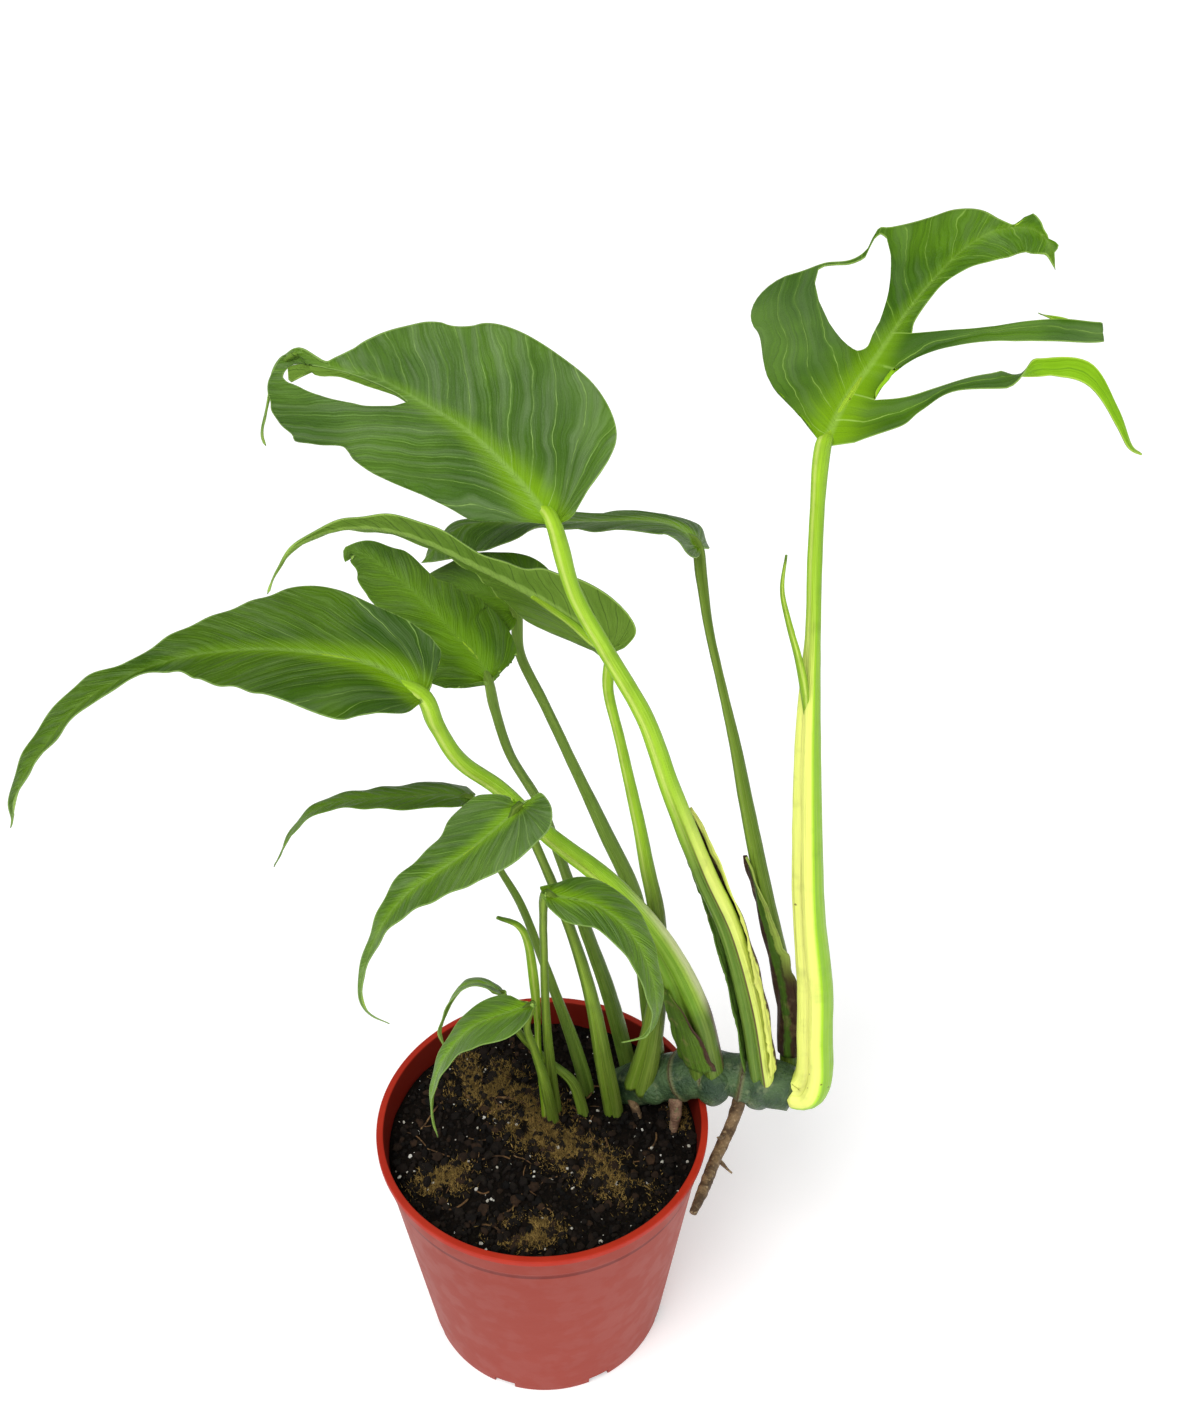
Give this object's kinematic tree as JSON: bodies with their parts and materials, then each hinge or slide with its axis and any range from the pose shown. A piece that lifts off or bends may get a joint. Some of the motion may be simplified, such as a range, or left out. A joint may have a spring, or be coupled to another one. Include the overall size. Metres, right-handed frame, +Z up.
{
  "type": "potted flame monstera plant",
  "caption": "Climbing aroid house plant with long split and pierced leaves on tall petioles, creeping over the rim of a round tapered nursery pot filled with soil.",
  "frame": {"origin": "middle of the pot's base, on the surface that it stands on", "axes": "+Z up; +X towards the side where the stem creeps over the rim; +Y away from the viewer"},
  "size_m": [0.4748, 0.2185, 0.5396],
  "materials": {
    "pot": "satin",
    "soil": "matte, crumbly",
    "stem": "satin",
    "root": "matte",
    "leaf": "satin, veined",
    "leaf_dark": "satin, veined",
    "leaf_young": "satin, veined",
    "petiole": "satin",
    "pale_sheath": "satin",
    "dry_sheath": "dry, papery"
  },
  "bodies": {
    "root": {"pot": "pot", "soil": "soil", "stem": "stem", "aerial_root_1": "root", "aerial_root_2": "root", "aerial_root_3": "root", "leaf_01_petiole": "pale_sheath", "leaf_01_blade": "leaf", "leaf_02_petiole": "petiole", "leaf_02_blade": "leaf", "leaf_03_petiole": "petiole", "leaf_03_blade": "leaf", "leaf_04_petiole": "petiole", "leaf_04_blade": "leaf", "leaf_05_petiole": "petiole", "leaf_05_blade": "leaf_dark", "leaf_06_petiole": "petiole", "leaf_06_blade": "leaf_dark", "leaf_07_petiole": "petiole", "leaf_07_blade": "leaf", "leaf_08_petiole": "petiole", "leaf_08_blade": "leaf_dark", "leaf_09_petiole": "petiole", "leaf_09_blade": "leaf_young", "leaf_10_petiole": "petiole", "leaf_10_blade": "leaf_young", "leaf_11_petiole": "petiole", "leaf_11_blade": "leaf_young", "leaf_12_petiole": "petiole", "leaf_12_blade": "leaf_young", "leaf_13_rolled": "leaf_young", "leaf_14_spear": "leaf_young", "leaf_02_sheath": "dry_sheath", "leaf_04_sheath": "dry_sheath", "leaf_07_sheath": "dry_sheath"}
  },
  "joints": []
}
